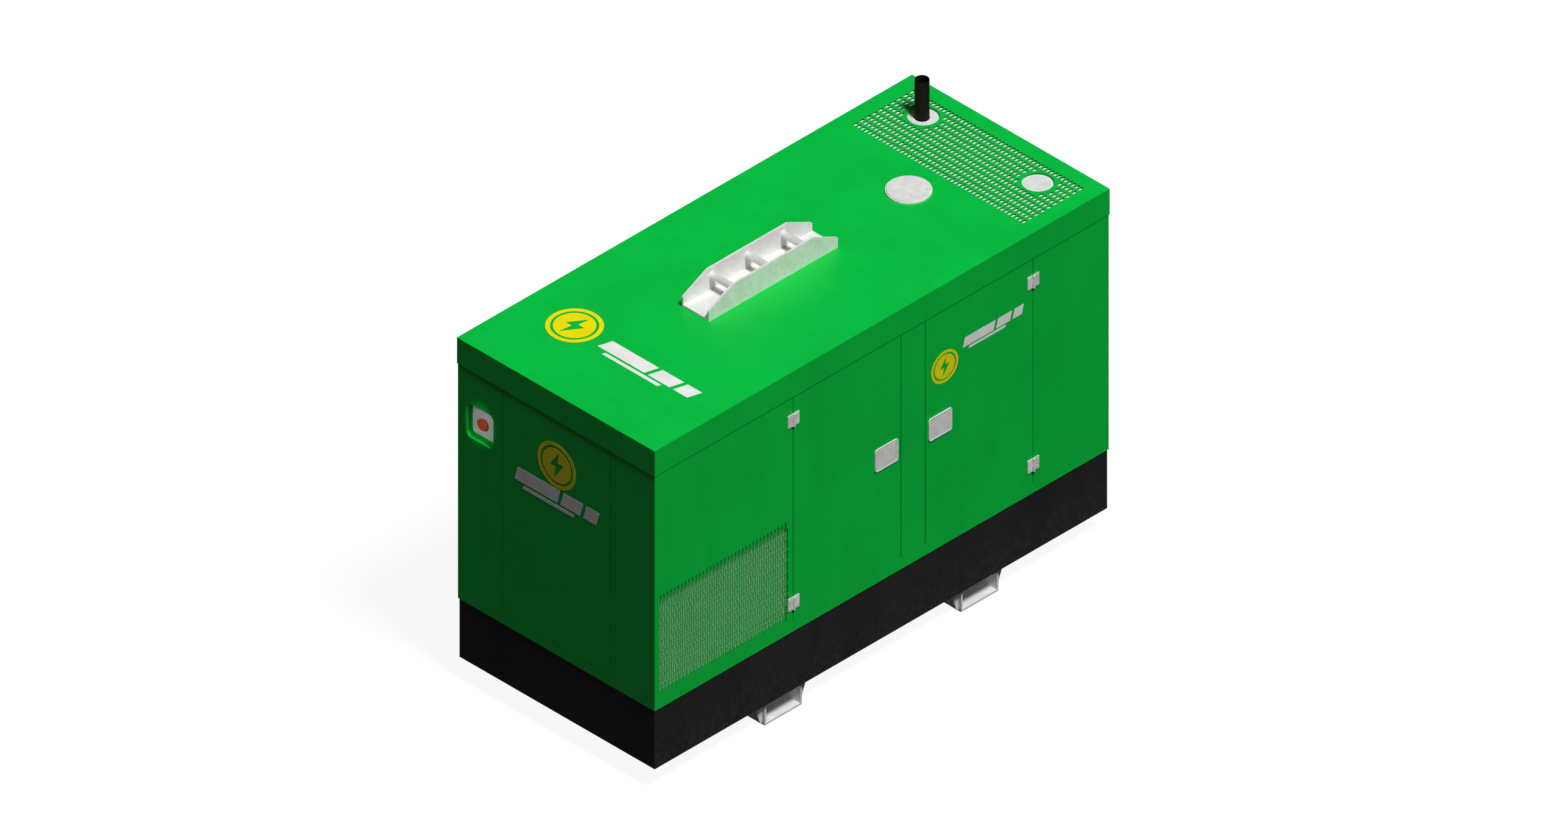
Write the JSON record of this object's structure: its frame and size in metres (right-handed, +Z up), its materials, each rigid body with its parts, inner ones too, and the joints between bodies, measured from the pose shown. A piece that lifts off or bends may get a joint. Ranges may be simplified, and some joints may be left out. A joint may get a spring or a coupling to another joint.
{
  "type": "diesel generator set",
  "caption": "Sound-proofed diesel generator in a long sheet-metal canopy on a skid base, with hinged service doors, fork pockets, a roof lifting channel and perforated grilles.",
  "frame": {"origin": "on the ground, under the centre of the roof", "axes": "+X from the control end to the radiator end, +Y towards the left side, +Z up"},
  "size_m": [2.313, 1.021, 1.662],
  "materials": {
    "canopy_green": "semi-gloss powder coat",
    "base_black": "satin black powder coat",
    "galvanised": "light grey galvanised sheet",
    "plated_steel": "zinc-plated steel",
    "engine_paint": "dark grey engine enamel",
    "alternator_paint": "mid grey enamel",
    "cast_iron": "bare cast iron",
    "silencer_steel": "aluminised steel",
    "stack_black": "heat-proof matt black",
    "cooling_black": "satin black",
    "rubber_black": "moulded rubber",
    "black_plastic": "moulded plastic",
    "battery_plastic": "moulded plastic",
    "control_grey": "fine-textured light grey",
    "estop_red": "moulded plastic",
    "filter_white": "enamel"
  },
  "bodies": {
    "chassis": {"base_frame": "base_black", "deck_plate": "base_black", "fork_pockets": "galvanised", "fuel_tank": "base_black", "engine_bearers": "base_black", "rubber_mounts": "rubber_black", "engine_block": "engine_paint", "oil_sump": "engine_paint", "cylinder_head": "engine_paint", "rocker_cover": "engine_paint", "exhaust_manifold": "cast_iron", "air_intake": "black_plastic", "service_filters": "filter_white", "starter_motor": "engine_paint", "flywheel_housing": "engine_paint", "alternator": "alternator_paint", "drive_belt": "rubber_black", "radiator": "cooling_black", "fan_shroud": "cooling_black", "coolant_hoses": "rubber_black", "exhaust_pipe": "silencer_steel", "silencer": "silencer_steel", "exhaust_stack": "stack_black", "battery": "battery_plastic", "control_box": "control_grey", "control_fascia": "control_grey", "roof_shell": "canopy_green", "roof_grille": "canopy_green", "weather_baffles": "galvanised", "intake_grilles": "canopy_green", "side_intake_panels": "canopy_green", "canopy_side_panels": "canopy_green", "control_end_panels": "canopy_green", "radiator_end_panel": "canopy_green", "estop_recess": "canopy_green", "estop_plate": "galvanised", "lifting_channel": "galvanised", "lifting_bars": "plated_steel", "lifting_frame": "base_black", "fixed_hinges": "plated_steel"},
    "control_door_body": {"control_door": "canopy_green"},
    "estop_stem_body": {"estop_stem": "black_plastic"},
    "estop_head_body": {"estop_head": "estop_red"},
    "roof_cap_body": {"roof_cap": "galvanised"},
    "fuel_cap_body": {"fuel_cap": "black_plastic"},
    "crank_pulley_body": {"crank_pulley": "cooling_black"},
    "cooling_fan_body": {"cooling_fan": "black_plastic"},
    "breaker_lever_body": {"breaker_lever": "black_plastic"},
    "right_service_door_body": {"right_service_door": "canopy_green", "right_service_door_hardware": "galvanised"},
    "right_service_paddle_body": {"right_service_door_paddle": "galvanised"},
    "right_engine_door_body": {"right_engine_door": "canopy_green", "right_engine_door_hardware": "galvanised"},
    "right_engine_paddle_body": {"right_engine_door_paddle": "galvanised"},
    "left_service_door_body": {"left_service_door": "canopy_green", "left_service_door_hardware": "galvanised"},
    "left_service_paddle_body": {"left_service_door_paddle": "galvanised"},
    "left_engine_door_body": {"left_engine_door": "canopy_green", "left_engine_door_hardware": "galvanised"},
    "left_engine_paddle_body": {"left_engine_door_paddle": "galvanised"}
  },
  "joints": [
    {"name": "right_service_door_hinge", "type": "hinge", "parent": "chassis", "child": "right_service_door_body", "pos_m": [-0.45, -0.5055, 0.8975], "axis": [0, 0, -1], "range_deg": [0, 120]},
    {"name": "right_service_paddle_pull", "type": "hinge", "parent": "right_service_door_body", "child": "right_service_paddle_body", "pos_m": [0.0666, -0.499, 0.8975], "axis": [0, 0, 1], "range_deg": [0, 35], "stiffness_Nm_per_rad": 0.2},
    {"name": "right_engine_door_hinge", "type": "hinge", "parent": "chassis", "child": "right_engine_door_body", "pos_m": [0.769, -0.5055, 0.8975], "axis": [0, 0, 1], "range_deg": [0, 120]},
    {"name": "right_engine_paddle_pull", "type": "hinge", "parent": "right_engine_door_body", "child": "right_engine_paddle_body", "pos_m": [0.2524, -0.499, 0.8975], "axis": [0, 0, -1], "range_deg": [0, 35], "stiffness_Nm_per_rad": 0.2},
    {"name": "left_service_door_hinge", "type": "hinge", "parent": "chassis", "child": "left_service_door_body", "pos_m": [-0.45, 0.5055, 0.8975], "axis": [0, 0, 1], "range_deg": [0, 120]},
    {"name": "left_service_paddle_pull", "type": "hinge", "parent": "left_service_door_body", "child": "left_service_paddle_body", "pos_m": [0.0666, 0.499, 0.8975], "axis": [0, 0, -1], "range_deg": [0, 35], "stiffness_Nm_per_rad": 0.2},
    {"name": "left_engine_door_hinge", "type": "hinge", "parent": "chassis", "child": "left_engine_door_body", "pos_m": [0.769, 0.5055, 0.8975], "axis": [0, 0, -1], "range_deg": [0, 120]},
    {"name": "left_engine_paddle_pull", "type": "hinge", "parent": "left_engine_door_body", "child": "left_engine_paddle_body", "pos_m": [0.2524, 0.499, 0.8975], "axis": [0, 0, 1], "range_deg": [0, 35], "stiffness_Nm_per_rad": 0.2},
    {"name": "control_door_hinge", "type": "hinge", "parent": "chassis", "child": "control_door_body", "pos_m": [-1.144, -0.21725, 0.89575], "axis": [0, 0, 1], "range_deg": [0, 100]},
    {"name": "estop_push", "type": "slide", "parent": "chassis", "child": "estop_stem_body", "axis": [1, 0, 0], "range_m": [0, 0.005], "stiffness_N_per_m": 800},
    {"name": "estop_twist", "type": "hinge", "parent": "estop_stem_body", "child": "estop_head_body", "pos_m": [-1.1414, 0.3885, 1.1705], "axis": [-1, 0, 0], "range_deg": [-40, 0]},
    {"name": "roof_cap_lift", "type": "slide", "parent": "chassis", "child": "roof_cap_body", "axis": [0, 0, 1], "range_m": [0, 0.08]},
    {"name": "fuel_cap_turn", "type": "hinge", "parent": "chassis", "child": "fuel_cap_body", "pos_m": [-0.388, -0.395, 0.46], "axis": [0, 0, 1], "range_deg": [0, 90]},
    {"name": "crank_spin", "type": "hinge", "parent": "chassis", "child": "crank_pulley_body", "pos_m": [0.385, 0, 0.69], "axis": [1, 0, 0], "continuous": true},
    {"name": "fan_spin", "type": "hinge", "parent": "chassis", "child": "cooling_fan_body", "pos_m": [0.385, 0, 0.895], "axis": [1, 0, 0], "continuous": true},
    {"name": "breaker_throw", "type": "hinge", "parent": "chassis", "child": "breaker_lever_body", "pos_m": [-1.0964, 0, 0.87], "axis": [0, 1, 0], "range_deg": [-35, 35]}
  ],
  "couplings": [
    {"joint": "fan_spin", "follows": "crank_spin", "ratio": 1.4167}
  ]
}
